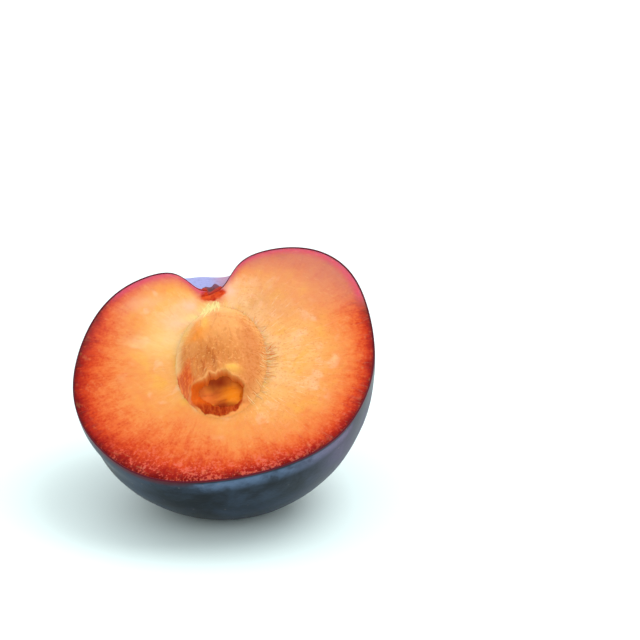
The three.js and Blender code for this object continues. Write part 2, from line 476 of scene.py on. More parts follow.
def scar_section(x, y):
    """Where the knife went through the corky scar under the stalk: a ragged oval, 1 inside."""
    oval = 1 - ((x - SCAR_CUT["x"]) / SCAR_CUT["half_width"]) ** 2
    oval = oval - ((y - SCAR_CUT["y"]) / SCAR_CUT["half_height"]) ** 2
    return step_up(oval + 0.45 * layered(x / 0.9, y / 0.9, seed=38), -0.15, 0.5)


def spot(x, y, at, size):
    """A soft oval spot, 1 in its middle: exp(-(distance in half sizes) squared)."""
    return np.exp(-(((x - at[0]) / size[0]) ** 2) - ((y - at[1]) / size[1]) ** 2)


def cream_tuft(x, y):
    """The pale strings between the scar and the stone, as soft ovals broken up by slanting noise, and
    the palest flesh left of the stone."""
    slanting = layered((x + y) / 0.8, (x - y) / 3.0, seed=39)
    tuft = np.maximum(spot(x, y, (0.2, 18.8), (2.8, 2.0)), 0.75 * spot(x, y, (-4.6, 17.0), (2.8, 1.4)))
    tuft = np.clip(1.3 * tuft + 0.35 * slanting - 0.15, 0, 1)
    return np.maximum(tuft, 0.5 * spot(x, y, (-12.5, 12.0), (5.0, 4.5)) * (1 + 0.5 * slanting))


def ochre_blotch(x, y):
    """A few faint brown marks on the right shoulder: one soft spot, broken up by noise."""
    return spot(x, y, (9.6, 18.5), (3.6, 2.6)) * step_up(layered(x / 1.6, y / 1.6, seed=40), -0.25, 0.35)


def wet_sheen_patches(x, y):
    """Painted highlights on the wet flesh beside the notch, pale pink: one soft spot on its right, fainter
    ones on its left.
    """
    uneven = 1 + 0.5 * layered(x / 1.8, y / 1.8, seed=42)
    patches = [strength * spot(x, y, at, size) for strength, at, size in WET_SHEEN_SPOTS]
    return np.clip(np.maximum.reduce(patches) * uneven, 0, 1)


def make_flesh():
    """Rings: up the socket, out over the face to the skin, then down the back to the bottom."""
    mouth = FACE_MIDDLE + direction(ROUND, 0.0) * mouth_radius(SOCKET_GAP)[..., None]
    rim = rim_point(SKIN - OVERLAP)
    along = np.linspace(0, 1, FACE_ROWS) ** 0.92
    face = mouth[None] * (1 - along[:, None, None]) + rim[None] * along[:, None, None]
    to_skin = np.linalg.norm(face - rim, axis=-1)
    to_stone = np.linalg.norm(face - mouth, axis=-1)
    x, y = face[..., 0], face[..., 1]
    face[..., 2] = face_relief(x, y, along[:, None], to_skin, to_stone)

    inward = np.radians(np.linspace(88, 4, SOCKET_ROWS))[:, None]
    ways = direction(ROUND[None, :], inward)
    socket = FACE_MIDDLE + ways * reach_to_stone(FACE_MIDDLE, ways, SOCKET_GAP)[..., None]
    back, _ = skin_rows(FLESH_BACK_ROWS, SKIN - OVERLAP)
    back = back[:-1][::-1]

    floor = SKIN - OVERLAP
    rings = np.concatenate([to_frame(socket), to_frame(face), to_frame(back, floor)])
    down = direction(0.0, np.pi / 2)
    socket_bottom = FACE_MIDDLE + down * reach_to_stone(FACE_MIDDLE, down, SOCKET_GAP)
    poles = [to_frame(socket_bottom), to_frame(down * (skin_radius(down) - SKIN + OVERLAP), floor)]

    def everywhere(values, in_socket=0.0, in_back=0.0):
        """Face values, with one constant for the socket's rings and one for the back's."""
        return np.concatenate([np.full((SOCKET_ROWS, COLUMNS), in_socket), values,
                               np.full((len(back), COLUMNS), in_back)])

    along_all = everywhere(np.repeat(along[:, None], COLUMNS, 1), in_back=1.0)
    circle = [np.repeat(f(ROUND)[None], len(along_all), 0) for f in (np.cos, np.sin)]
    attributes = {
        "fibre": np.stack([*circle, along_all], -1),
        "to_skin": everywhere(to_skin, in_socket=FAR_INSIDE),
        "to_stone": everywhere(to_stone, in_back=FAR_INSIDE),
        "depth": everywhere(ripeness_depth(x, y, to_skin), in_socket=FAR_INSIDE),
        "scar": everywhere(scar_section(x, y)),
        "cream": everywhere(cream_tuft(x, y)),
        "ochre": everywhere(ochre_blotch(x, y)),
        "milk": everywhere(wet_sheen_patches(x, y)),
        "across": everywhere(x),
        "upwards": everywhere(y),
    }
    return globe_piece("plum_flesh", rings, *poles, attributes)


flesh = make_flesh()


# %% [markdown]
# ## The stone
# A plum stone is woody, pitted and keeled along one edge. It is shaped in full, also where the flesh
# hides it, because it is a piece of its own.

# %% Stone piece
STONE_ROWS = 150
STONE_COLUMNS = 220
FURROW_DEPTH = 0.16
PIT_DEPTH = 0.22
DENT = dict(depth=1.5, at=(-2.4, -8.2), size=(3.0, 2.4))  # mm across and along the stone


def stone_surface(polar, turn):
    """Points of the stone in its own frame: egg * (1 + taper) + keel + furrows and pits, pushed sideways
    from its axis, less the dent on its open side. The furrows are noise stretched along the stone. Also
    the relief, for its colour."""
    d = np.stack([np.sin(polar) * np.cos(turn), np.cos(polar), np.sin(polar) * np.sin(turn)], -1)
    sideways = np.hypot(d[..., 0], d[..., 2]) + 1e-9
    fullness = 1 + STONE_TAPER * d[..., 1]
    from_keel = np.degrees(np.arctan2(d[..., 2], -d[..., 0]))
    keel = KEEL["height"] * bell(from_keel, KEEL["spread"]) * sideways
    furrows = FURROW_DEPTH * layered(d[..., 0] * 5, d[..., 1] * 2.2, d[..., 2] * 5, seed=41)
    pits = -PIT_DEPTH * step_up(noise(d[..., 0] * 9, d[..., 1] * 7, d[..., 2] * 9, seed=44), 0.25, 0.7)
    grow = keel + furrows * sideways + pits * sideways
    points = d * STONE_HALF * np.stack([fullness, np.ones_like(fullness), fullness], -1)
    points[..., 0] += grow * d[..., 0] / sideways
    points[..., 2] += grow * d[..., 2] / sideways
    dent = DENT["depth"] * spot(points[..., 0], points[..., 1], DENT["at"], DENT["size"])
    points[..., 2] -= dent * step_up(d[..., 2], 0.0, 0.4)
    return points, furrows / FURROW_DEPTH + pits


def make_stone():
    polar = np.pi * (np.arange(STONE_ROWS) + 1.0)[:, None] / (STONE_ROWS + 1)
    turn = 2 * np.pi * np.arange(STONE_COLUMNS)[None, :] / STONE_COLUMNS
    points, relief = stone_surface(*np.broadcast_arrays(polar, turn))
    across, along = points[..., 0], points[..., 1]
    uneven = noise(across / 1.5, along / 1.5, seed=45)
    rings = to_frame(points @ STONE_TURN.T + STONE_PLACE)
    tips = np.array([[0, STONE_HALF[1], 0], [0, -STONE_HALF[1], 0]])
    poles = to_frame(tips @ STONE_TURN.T + STONE_PLACE)
    # painted shade on the stone: dark in the cave under the torn ledge and in the crescent at its lower end
    dark = spot(across + uneven, along + 0.5 * uneven, (-0.5, -6.0), (2.9, 1.5))
    dark = np.maximum(dark, 1 - step_up(along + 0.6 * uneven, -11.6, -10.0))
    attributes = {
        "relief": relief,
        "dark": dark,
        "bright": spot(across, along + 0.6 * uneven, (2.2, -8.8), (3.0, 2.4)),
        "pulp": spot(across + 0.5 * uneven, along + 0.5 * uneven, (-4.3, -8.3), (2.8, 2.4)),
        "streak": layered(across / 2.2, along / 0.7, seed=46),
    }
    return globe_piece("plum_stone", rings, *poles, attributes)


stone = make_stone()


# %% [markdown]
# ## The flesh that clings to the stone
# This kind of plum doesn't let go of its stone: when the halves are twisted apart, a mat of flesh stays
# on it, and only a ragged hole near its lower end shows the bare stone. The mat's height is a formula
# over the cut face: the stone grown by the mat's thickness, joined by a smooth maximum to a low fringe
# that spreads over the gap. In the hole the thickness is negative, so the mat dives into the stone, and
# its visible border is the line where two surfaces meet, as ragged as the noise makes it.

# %% Clinging flesh piece
CLING_ROWS = 100
CLING_COLUMNS = 380
CLING_REACH = 1.13  # how far it spreads, as a share of the socket's mouth
MAT = dict(thickness=0.95, lumps=0.30, fine_lumps=0.12, lower_share=0.45)
MAT_BODY = 0.9  # from the mat's top to its underside, in mm
DIVE = 2.8  # how deep in the stone the mat lies under the hole, in mm
JOIN_WIDTH = 0.5  # how softly mat and fringe run into each other, in mm
LEDGE = dict(height=0.6, width=0.9)  # the torn edge curls up on the stalk's side of the hole
NUBS = (  # lumps on the ledge: how high, and where and how large in mm across and along the stone
    dict(height=0.95, at=(2.7, -4.6), size=(1.7, 1.1)),
    dict(height=0.60, at=(-0.4, -3.4), size=(0.7, 1.6)),
    dict(height=0.45, at=(-2.6, -4.6), size=(1.1, 0.8)),
)
TORN_DIP = dict(depth=0.55, at=(-2.6, -1.4), size=(2.0, 1.5))  # above the ledge
FRINGE = dict(height=0.30, strands=0.16, strands_round=26, sunk=3.0)  # sunk: how deep, over the stone


def mat_thickness(across, along, outside):
    """Thickness of the mat over the stone, in mm: lumps, the curled ledge and its nubs, a dip above it,
    and thinner low down."""
    lumps = 1 + MAT["lumps"] * layered(across / 2.4, along / 3.4, seed=52)
    lumps = lumps + MAT["fine_lumps"] * layered(across / 0.7, along / 1.6, seed=53)
    low = MAT["lower_share"] + (1 - MAT["lower_share"]) * step_up(along, -11.0, -5.0)
    ledge = LEDGE["height"] * bell(outside - 0.5, LEDGE["width"]) * step_up(along, -9.5, -6.5)
    for nub in NUBS:
        ledge = ledge + nub["height"] * spot(across, along, nub["at"], nub["size"])
    dip = TORN_DIP["depth"] * spot(across, along, TORN_DIP["at"], TORN_DIP["size"])
    return MAT["thickness"] * lumps * low + ledge - dip


def mat_height(x, y):
    """Height of the mat's top over the cut face at x, y. Also the share of the way to the socket's mouth,
    and the distance outside the hole."""
    across, along = stone_coordinates(x, y)
    away = np.hypot(x - FACE_MIDDLE[0], y - FACE_MIDDLE[1]) + 1e-9
    way = np.stack([(x - FACE_MIDDLE[0]) / away, (y - FACE_MIDDLE[1]) / away, np.zeros_like(x)], -1)
    on_stone = away / reach_to_stone(FACE_MIDDLE, way, SOCKET_GAP)
    outside = outside_hole(across, along)
    low_end = 1 - step_up(along, -11.5, -9.0)
    left_side = step_up(-across, 3.0, 4.5) * (1 - step_up(along, -8.0, -6.0))
    sloping = np.maximum(1.2 * low_end, 2.6 * left_side)  # mm of slope there, but steep at the ledge
    cover = step_up(outside, -0.15 - sloping, 0.4)
    mat = stone_top(x, y, mat_thickness(across, along, outside) * cover - DIVE * (1 - cover))
    round_x, round_y = (FRINGE["strands_round"] * way[..., k] for k in range(2))
    strands = noise(round_x, round_y, on_stone * 3, seed=54)
    mat = mat + 0.12 * strands * step_up(on_stone, 0.6, 0.9) * cover
    fringe = (FRINGE["height"] + FRINGE["strands"] * strands) * (1 - step_up(on_stone, 0.98, 1.11))
    fringe = fringe - 0.2 * step_up(on_stone, 1.03, CLING_REACH)
    fringe = fringe - FRINGE["sunk"] * (1 - step_up(on_stone, 0.5, 0.9))
    higher = 0.5 * (mat + fringe + np.sqrt((mat - fringe) ** 2 + JOIN_WIDTH**2))
    return higher, on_stone, outside


def make_clinging_flesh():
    """Rings on a polar grid about the stone's middle: the top, then the underside back inwards."""
    turn = 2 * np.pi * np.arange(CLING_COLUMNS) / CLING_COLUMNS
    ways = direction(turn, 0.0)
    reach = CLING_REACH * reach_to_stone(FACE_MIDDLE, ways, SOCKET_GAP)
    share = ((np.arange(CLING_ROWS) + 1.0) / CLING_ROWS)[:, None]
    place = FACE_MIDDLE + ways[None] * (share * reach[None])[..., None]
    x, y = place[..., 0], place[..., 1]
    height, on_stone, outside = mat_height(x, y)
    across, along = stone_coordinates(x, y)

    top = np.stack([x, y, height], -1)
    bottom = np.stack([x, y, height - MAT_BODY * (1 - share**5)], -1)[:-1][::-1]
    rings = to_frame(np.concatenate([top, bottom]))
    middle = top[0].mean(0)
    poles = [to_frame(middle), to_frame(middle - np.array([0, 0, MAT_BODY]))]
    uneven = 1.2 * noise(across / 1.8, along / 1.8, seed=55)
    # The colour masks below are 0 to 1, with places and sizes in mm across and along the stone
    masks = {
        "stone_place": np.stack([across, along, height], -1),
        "outside_hole": outside,
        "on_stone": on_stone,
        # yellow flesh, partly painted highlights: on the nub and on the mat's upper left
        "yellow": np.maximum.reduce([
            spot(across, along, NUBS[0]["at"], (1.7, 1.2)),
            0.9 * spot(across, along, (-2.8, 9.6), (0.8, 2.2)),
            0.7 * spot(across, along, (-7.6, 8.6), (1.0, 2.2)),
        ]),
        "brown": spot(across + uneven, along + uneven, (-2.4, -1.0), (3.6, 3.2)),
        "amber": spot(across + 0.5 * uneven, along + uneven, (-4.6, 6.6), (2.4, 3.0)),
        "red": np.maximum.reduce([
            step_up(-across + uneven, 4.6, 7.2) * step_up(-along + 2 * uneven, -1.0, 4.0),
            step_up(-along + uneven, 10.5, 12.5),
            spot(across, along, (-6.0, -10.0), (3.0, 4.0)),
        ]),
        "right": step_up(across + 0.5 * uneven, 3.5, 6.5),
    }
    attributes = {title: np.concatenate([values, values[:-1][::-1]]) for title, values in masks.items()}
    return globe_piece("clinging_flesh", rings, *poles, attributes)


clinging = make_clinging_flesh()


# %% [markdown]
# ## Torn fibres
# Where the flesh parted, pale and brown fibres bridge the stone and the cut face, most of them on the
# right, and a bundle of cream ones runs from the stalk's scar to the stone. Each is a thin tapered
# thread. Hair curves would be lighter, but threads with a surface catch light and shade like the wet
# strings they are. They are all computed at once, as one array of rings per thread.

# %% Torn fibres piece
RADIAL_THREADS = 75
BUNDLE_THREADS = 30
THREAD_RINGS = 10
THREAD_SIDES = 6


def radial_threads(random, share):
    """Places x, y along threads that leave the stone outwards, most of them on its right."""
    turn = np.where(random.uniform(0, 1, RADIAL_THREADS) < 0.66,
                    random.normal(np.radians(95), np.radians(32), RADIAL_THREADS),
                    random.uniform(np.radians(-30), np.radians(165), RADIAL_THREADS))
    mouth = reach_to_stone(FACE_MIDDLE, direction(turn, 0.0), SOCKET_GAP)
    start = random.uniform(0.90, 1.12, RADIAL_THREADS)
    length = random.uniform(0.8, 3.2, RADIAL_THREADS)
    out = start[:, None] * mouth[:, None] + length[:, None] * share
    bend = random.normal(0, 0.05, RADIAL_THREADS)[:, None] * share
    places = FACE_MIDDLE + direction(turn[:, None] + bend, 0.0) * out[..., None]
    return places[..., 0], places[..., 1]


def bundle_threads(random, share):
    """Places x, y along threads from under the scar to the stone's upper left, fanning out."""
    start_x = random.uniform(-2.2, 2.8, BUNDLE_THREADS)[:, None]
    start_y = random.uniform(18.6, 20.8, BUNDLE_THREADS)[:, None]
    end_x = start_x * 0.8 - random.uniform(-0.6, 3.4, BUNDLE_THREADS)[:, None]
    end_y = start_y - random.uniform(1.4, 6.5, BUNDLE_THREADS)[:, None]
    bow = random.normal(0, 0.5, BUNDLE_THREADS)[:, None] * np.sin(np.pi * share)
    return start_x + (end_x - start_x) * share + bow, start_y + (end_y - start_y) * share


def thread_paths(random):
    """Centre lines (threads, rings, 3), thicknesses and tones: every thread lies on the mat or on the
    cut face, and some lift their outer end. Tone 1 is cream, 0 brown."""
    share = np.linspace(0, 1, THREAD_RINGS)[None]
    groups = [radial_threads(random, share), bundle_threads(random, share)]
    x, y = (np.concatenate([group[k] for group in groups]) for k in range(2))
    in_bundle = (np.arange(len(x)) >= RADIAL_THREADS).astype(float)[:, None]
    clear_of_hole = outside_hole(*stone_coordinates(x, y)).min(1) > 0.6
    x, y, in_bundle = x[clear_of_hole], y[clear_of_hole], in_bundle[clear_of_hole]
    count = len(x)
    thick = random.uniform(0.05, 0.10, count)[:, None] * (1 + 1.2 * in_bundle)
    lift = np.maximum(random.normal(-0.25, 0.2, count), 0)[:, None] * share**2
    height = np.maximum(mat_height(x, y)[0], 0.08) + 0.1 * thick + lift
    thick = thick * (1 - 0.8 * np.abs(2 * share - 1) ** 3)
    beside = spot(x[:, 0], y[:, 0], (9.0, 4.0), (5.0, 5.0))  # the brown ones are right of the stone
    tone = random.uniform(0.35, 0.85, count) - 0.5 * beside * random.uniform(0, 1, count)
    tone = np.where(in_bundle[:, 0] > 0, 1.0, np.clip(tone, 0, 1))
    return np.stack([x, y, height], -1), thick, tone


def make_threads():
    """A ring of corners round every path point, with a pole at each end of each thread."""
    random = np.random.default_rng(7)
    paths, thick, tone = thread_paths(random)
    count = len(paths)
    along = np.gradient(paths, axis=1)
    along /= np.linalg.norm(along, axis=-1, keepdims=True)
    side = np.cross(along, [0.0, 0.0, 1.0])
    side /= np.linalg.norm(side, axis=-1, keepdims=True)
    upright = np.cross(side, along)
    corner = 2 * np.pi * np.arange(THREAD_SIDES) / THREAD_SIDES
    rings = (
        paths[:, :, None]
        + thick[..., None, None] * np.cos(corner)[:, None] * side[:, :, None]
        + thick[..., None, None] * np.sin(corner)[:, None] * upright[:, :, None]
    )
    body = rings.reshape(count, -1, 3)
    points = np.concatenate([body, paths[:, :1], paths[:, -1:]], 1)
    quads, triangles = ring_faces(THREAD_RINGS, THREAD_SIDES)
    shifts = (np.arange(count) * points.shape[1])[:, None, None]
    quads = (quads[None] + shifts).reshape(-1, 4)
    triangles = (triangles[None] + shifts).reshape(-1, 3)
    tones = np.repeat(tone, points.shape[1])
    points = to_frame(points.reshape(-1, 3))
    return mesh_piece("torn_fibres", points, quads, triangles, {"tone": tones})


threads = make_threads()

# %% [markdown]
# ## The stalk's scar
# At the bottom of the hollow the stalk has come away and left a small corky ring with a nub in it, cut
# in half by the knife like the rest. Its outline is a D: a circle, limited by the knife's plane.

# %% Stalk scar piece
SCAR_MIDDLE = (1.1, -1.2)  # x and z
SCAR_RADIUS = 2.5
SCAR_NUB = dict(x=1.9, z=-1.2, height=1.5, width=0.9)
SCAR_RING = dict(radius=1.8, height=0.3, width=0.5)
SCAR_LIFT = 0.14  # its lowest height over the skin, in mm
SCAR_EDGE = 0.12  # how far its outer edge goes into the skin
SCAR_BODY = 0.9
SCAR_SHEAR = 0.06  # how far it stands out of the cut
SCAR_ROWS = 40
SCAR_COLUMNS = 160


def hollow_floor(x, z):
    """Height y of the skin over the place x, z near the stalk, by fixed-point steps on
    y = sqrt(radius(direction)^2 - x^2 - z^2)."""
    y = np.full(x.shape, 24.0)
    for _ in range(8):
        place = np.stack([x, y, z], -1)
        d = place / np.linalg.norm(place, axis=-1, keepdims=True)
        y = np.sqrt(skin_radius(d) ** 2 - x * x - z * z)
    return y


def make_scar():
    """Rings about the scar's middle: the rough top with its ring and nub, then the underside."""
    turn = 2 * np.pi * np.arange(SCAR_COLUMNS)[None] / SCAR_COLUMNS
    share = (np.arange(SCAR_ROWS)[:, None] + 1.0) / SCAR_ROWS
    to_knife = (SCAR_SHEAR - SCAR_MIDDLE[1]) / np.maximum(np.sin(turn), 1e-3)
    ragged = 1 + 0.10 * noise(4 * np.cos(turn), 4 * np.sin(turn), seed=61)
    reach = np.minimum(SCAR_RADIUS * ragged, np.where(np.sin(turn) > 0, to_knife, np.inf))
    x = SCAR_MIDDLE[0] + share * reach * np.cos(turn)
    z = SCAR_MIDDLE[1] + share * reach * np.sin(turn)
    outward = np.hypot(x - SCAR_MIDDLE[0], z)
    from_nub = np.hypot(x - SCAR_NUB["x"], z - SCAR_NUB["z"])
    ring = SCAR_RING["height"] * bell(outward - SCAR_RING["radius"], SCAR_RING["width"])
    ring = ring + SCAR_NUB["height"] * bell(from_nub, SCAR_NUB["width"])
    rough = 0.13 * layered(x / 0.5, z / 0.5, seed=62)
    inside = step_up(SCAR_RADIUS * ragged - outward, 0.0, 0.5)
    lift = (SCAR_LIFT + ring + rough) * inside - SCAR_EDGE * (1 - inside)
    floor = hollow_floor(x, z)
    top = np.stack([x, floor + lift, z], -1)
    bottom = np.stack([x, floor - SCAR_BODY * (1 - share**6) - SCAR_EDGE, z], -1)[::-1]
    rings = to_frame(np.concatenate([top, bottom]))
    poles = [to_frame(top[0].mean(0)), to_frame(bottom[-1].mean(0))]
    attributes = {
        "lift": np.concatenate([lift, lift[::-1] * 0]),
        "under_cut": np.concatenate([-z, -z[::-1]]),
    }
    return globe_piece("stalk_scar", rings, *poles, attributes)


scar = make_scar()


# %% [markdown]
# ## Colours and nodes
# Colours are written as they look on screen and turned into linear light here. The helpers below only
# save typing: each makes one node and joins its inputs.

# %% Node helpers
ROOM_LIGHT = 1.35  # brightness of a level white card in this scene, where 1 is white on screen


def colour(red, green, blue):
    """A screen colour, 0..255, as linear RGBA."""
    def linear(value):
        value = value / 255
        return value / 12.92 if value <= 0.04045 else ((value + 0.055) / 1.055) ** 2.4
    return (linear(red), linear(green), linear(blue), 1.0)


def seen(red, green, blue):
    """The surface colour that looks like this screen colour in the scene's strong light."""
    return tuple(part / ROOM_LIGHT for part in colour(red, green, blue)[:3]) + (1.0,)


def node(tree, kind, inputs=None, **settings):
    """A new shader node with its settings. Inputs are values to set or sockets to join."""
    made = tree.nodes.new("ShaderNode" + kind)
    for title, value in settings.items():
        setattr(made, title, value)
    for key, value in (inputs or {}).items():
        if isinstance(value, bpy.types.NodeSocket):
            tree.links.new(value, made.inputs[key])
        else:
            made.inputs[key].default_value = value
    return made


def calc(tree, operation, *values):
    return node(tree, "Math", dict(enumerate(values)), operation=operation).outputs[0]


def fade(tree, value, low, high, to_low=0.0, to_high=1.0):
    """A smooth S from to_low at low to to_high at high."""
    inputs = {"Value": value, "From Min": low, "From Max": high, "To Min": to_low, "To Max": to_high}
    return node(tree, "MapRange", inputs, interpolation_type="SMOOTHSTEP").outputs["Result"]


def blend(tree, share, first, second):
    """The first colour where share is 0 and the second where it is 1."""
    return node(tree, "Mix", {"Factor": share, 6: first, 7: second}, data_type="RGBA").outputs[2]


def product(tree, first, *others):
    """All the values multiplied together."""
    for value in others:
        first = calc(tree, "MULTIPLY", first, value)
    return first


def paint(tree, base, mask, tint):
    """The base with a layer of one screen colour over it, as thick as the mask says."""
    return blend(tree, mask, base, seen(*tint))


def ramp(tree, value, stops):
    """A row of colours, each at its place in 0..1, with straight blends between."""
    made = node(tree, "ValToRGB", {0: value})
    band = made.color_ramp.elements
    while len(band) < len(stops):
        band.new(1.0)
    for element, (place, tint) in zip(band, stops):
        element.position = place
        element.color = tint
    return made.outputs["Color"]


def attribute(tree, title, output="Fac"):
    return node(tree, "Attribute", attribute_name=title).outputs[output]


def noise_of(tree, vector, scale, detail=3.0, roughness=0.55, distortion=0.0):
    inputs = {"Vector": vector, "Scale": scale, "Detail": detail, "Roughness": roughness}
    inputs["Distortion"] = distortion
    return node(tree, "TexNoise", inputs).outputs["Fac"]


def stretch(tree, vector, x, y, z):
    """The vector with each part multiplied."""
    return node(tree, "VectorMath", {0: vector, 1: (x, y, z)}, operation="MULTIPLY").outputs[0]


def bump(tree, height, strength, distance_mm):
    inputs = {"Height": height, "Strength": strength, "Distance": distance_mm * MM}
    return node(tree, "Bump", inputs).outputs[0]


def new_material(title, constants):
    made = bpy.data.materials.new(title)
    made.use_nodes = True
    tree = made.node_tree
    shader = tree.nodes["Principled BSDF"]
    for key, value in constants.items():
        shader.inputs[key].default_value = value
    return made, tree, shader


def object_place(tree):
    return node(tree, "TexCoord").outputs["Object"]


# %% [markdown]
# ## Two effects as node groups
# Fibre streaks, for the flesh, are noise stretched along the fruit's radial direction. Mottle, which
# four materials share, is soft spots of two sizes. Each group gives out plain values.

# %% Shared node groups
def new_group(title, inputs, outputs):
    """An empty node group with named sockets; returns it with its input and output nodes."""
    group = bpy.data.node_groups.new(title, "ShaderNodeTree")
    for name, kind, value in inputs:
        socket = group.interface.new_socket(name, in_out="INPUT", socket_type="NodeSocket" + kind)
        if value is not None:
            socket.default_value = value
    for name in outputs:
        group.interface.new_socket(name, in_out="OUTPUT", socket_type="NodeSocketFloat")
    return group, group.nodes.new("NodeGroupInput"), group.nodes.new("NodeGroupOutput")


def build_streaks():
    """Fine and broad radial streaks from a vector (cos, sin, share along the fibre)."""
    group, start, end = new_group("fibre_streaks", [("Fibre", "Vector", None)], ["Fine", "Broad"])
    fine = stretch(group, start.outputs["Fibre"], 46, 46, 9)
    broad = stretch(group, start.outputs["Fibre"], 11, 11, 2.4)
    group.links.new(noise_of(group, fine, 1.0, 3.0, 0.6), end.inputs["Fine"])
    group.links.new(noise_of(group, broad, 1.0, 3.0, 0.55), end.inputs["Broad"])
    return group


def build_mottle():
    """Soft spots, and sparse small dots, at a size given in spots per metre."""
    inputs = [("Place", "Vector", None), ("Scale", "Float", 500.0)]
    group, start, end = new_group("mottle", inputs, ["Spots", "Grain"])
    place, scale = start.outputs["Place"], start.outputs["Scale"]
    group.links.new(noise_of(group, place, scale, 4.0, 0.6, 0.4), end.inputs["Spots"])
    finer = calc(group, "MULTIPLY", scale, 4.0)
    group.links.new(noise_of(group, place, finer, 2.0, 0.7), end.inputs["Grain"])
    return group


streaks_group = build_streaks()
mottle_group = build_mottle()


def use_streaks(tree, fibre):
    made = node(tree, "Group", node_tree=streaks_group)
    tree.links.new(fibre, made.inputs["Fibre"])
    return made.outputs["Fine"], made.outputs["Broad"]


def use_mottle(tree, scale):
    made = node(tree, "Group", node_tree=mottle_group)
    tree.links.new(object_place(tree), made.inputs["Place"])
    made.inputs["Scale"].default_value = scale
    return made.outputs["Spots"], made.outputs["Grain"]


# %% [markdown]
# ## Flesh
# Ripe flesh is cream by the stone and turns orange outwards, then red where the skin's dye has bled in.
# Light goes in and comes out redder, which is what makes fruit look juicy, so most of the shading is
# subsurface. Each step below paints one more thing over the ripe colour.

# %% Flesh material
RIPE_DEPTH = 24.0
RIPENESS = (  # mm from the skin, and the colour seen there
    (0.0, (126, 8, 14)), (0.8, (176, 28, 18)), (2.0, (220, 72, 30)), (3.8, (238, 114, 54)),
    (6.5, (246, 148, 80)), (11.0, (249, 172, 94)), (16.0, (251, 188, 112)), (22.0, (252, 202, 142)),
)


def ripe_colour(tree, at):
    """The colour for the distance from the skin, which spots, grain and fibres shake by up to 3 mm."""
    shaken = fade(tree, at.spots, 0.3, 0.7, -0.8, 0.8)
    for value, reach in ((at.grain, 0.8), (at.fine, -0.7), (at.broad, -0.9)):
        shaken = calc(tree, "ADD", shaken, fade(tree, value, 0.3, 0.7, -reach, reach))
    shaken = product(tree, shaken, fade(tree, at.depth, 0.0, 6.0, 0.2, 1.0))
    place = product(tree, calc(tree, "ADD", at.depth, shaken), 1 / RIPE_DEPTH)
    return ramp(tree, place, [(deep / RIPE_DEPTH, seen(*tint)) for deep, tint in RIPENESS])


def clouded(tree, at, base):
    """Yellow and milky clouds in the deep flesh, pale and dark fibres, and small orange dots."""
    deep = fade(tree, at.depth, 5.0, 12.0)
    patches = noise_of(tree, object_place(tree), 210.0, 2.0, 0.5, 0.3)
    base = paint(tree, base, product(tree, deep, fade(tree, patches, 0.52, 0.70, 0.0, 0.75)), (250, 184, 84))
    base = paint(tree, base, product(tree, deep, fade(tree, patches, 0.46, 0.30, 0.0, 0.6)), (255, 204, 160))
    pale = product(tree, fade(tree, at.fine, 0.54, 0.74, 0.0, 0.7),
                   fade(tree, at.depth, 7.0, 16.0, 0.15, 1.0), fade(tree, at.right, -4.0, 8.0, 0.35, 1.0))
    base = paint(tree, base, pale, (255, 220, 176))
    base = paint(tree, base, fade(tree, at.fine, 0.44, 0.28, 0.0, 0.2), (236, 124, 56))
    dots = product(tree, fade(tree, at.grain, 0.50, 0.70, 0.0, 0.4),
                   fade(tree, at.right, -6.0, 10.0, 0.4, 1.0), fade(tree, at.depth, 1.0, 4.0))
    return paint(tree, base, dots, (228, 124, 60))


def stained(tree, at, base):
    """What differs round the face: painted sheen at the top, a dull haze, and a pink edge there, a paler
    right shoulder with ochre marks, painted highlights on the wet pink pulp at the lower rim, and darker
    flesh where it was torn off the stone."""
    # painted sheen: a dull pinkish haze over the upper face near the skin, stronger to the right
    painted_sheen = product(tree, fade(tree, at.up, 8.0, 22.0), fade(tree, at.depth, 11.0, 1.0),
                   fade(tree, at.right, -24.0, -10.0, 0.1, 0.6))
    painted_sheen_tint = blend(tree, fade(tree, at.right, -5.0, 15.0), seen(226, 140, 128), seen(188, 120, 120))
    base = blend(tree, painted_sheen, base, painted_sheen_tint)
    shoulder = product(tree, fade(tree, at.right, 4.0, 14.0), fade(tree, at.up, 6.0, 18.0), 0.4)
    base = paint(tree, base, shoulder, (232, 156, 116))
    up_and_right = calc(tree, "ADD", at.up, fade(tree, at.right, -24.0, 10.0, -6.0, 9.0))
    pink = product(tree, fade(tree, at.to_skin, 2.6, 0.5), fade(tree, up_and_right, 19.0, 24.0), 0.8)
    base = paint(tree, base, pink, (228, 84, 114))
    pulp = calc(tree, "MULTIPLY_ADD", at.spots, 0.8, at.grain)
    # painted highlights: small pink flecks on the wet pulp at the lower rim
    painted_wet_highlights = product(tree, fade(tree, at.up, -10.0, -20.0), fade(tree, at.depth, 5.0, 1.5),
                  fade(tree, at.right, 22.0, 2.0, 0.35, 1.0), fade(tree, pulp, 0.91, 1.07), 0.6)
    base = paint(tree, base, painted_wet_highlights, (240, 120, 98))
    base = paint(tree, base, product(tree, attribute(tree, "ochre"), 0.5), (222, 158, 82))
    torn = product(tree, fade(tree, at.to_stone, 2.2, 0.2), fade(tree, at.fine, 0.56, 0.4),
                   fade(tree, at.right, -2.0, 5.0, 0.15, 0.6))
    base = paint(tree, base, torn, (226, 132, 62))
    below = product(tree, fade(tree, at.to_stone, 3.0, 0.5), fade(tree, at.up, -8.0, -12.0), 0.6)
    return paint(tree, base, below, (242, 148, 70))


